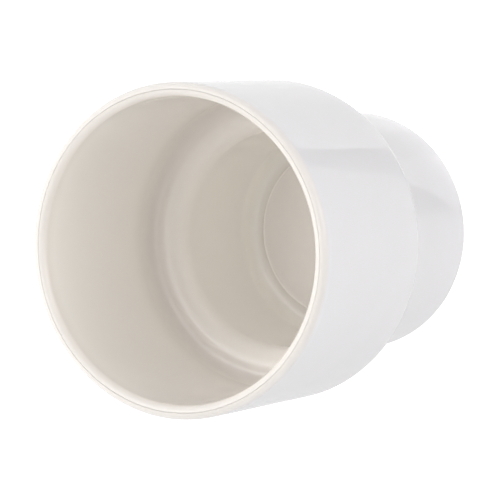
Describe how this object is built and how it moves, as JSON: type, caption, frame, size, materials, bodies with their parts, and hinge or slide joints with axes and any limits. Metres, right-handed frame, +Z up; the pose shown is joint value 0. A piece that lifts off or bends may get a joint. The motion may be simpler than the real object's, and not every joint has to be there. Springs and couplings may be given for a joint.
{
  "type": "buchner funnel",
  "caption": "Stepped porcelain suction filter funnel: a wide round chamber on a narrower spigot, with a loose perforated plate and a filter paper circle on its floor.",
  "frame": {"origin": "centre of the foot ring's underside, where the funnel stands", "axes": "+Z up along the funnel's axis from the foot to the mouth; X and Y are any pair square to it, as the body is round"},
  "size_m": [0.1, 0.1, 0.121],
  "materials": {
    "glazed_porcelain": "glossy glaze",
    "plate_porcelain": "glossy glaze",
    "filter_paper": "matt, smooth, close-textured"
  },
  "bodies": {
    "funnel": {"funnel_body": "glazed_porcelain"},
    "plate": {"perforated_plate": "plate_porcelain"},
    "paper": {"filter_paper": "filter_paper"}
  },
  "joints": [
    {"name": "plate_lift", "type": "slide", "parent": "funnel", "child": "plate", "axis": [0, 0, 1], "range_m": [0, 0.115]},
    {"name": "paper_lift", "type": "slide", "parent": "plate", "child": "paper", "axis": [0, 0, 1], "range_m": [0, 0.112]}
  ]
}
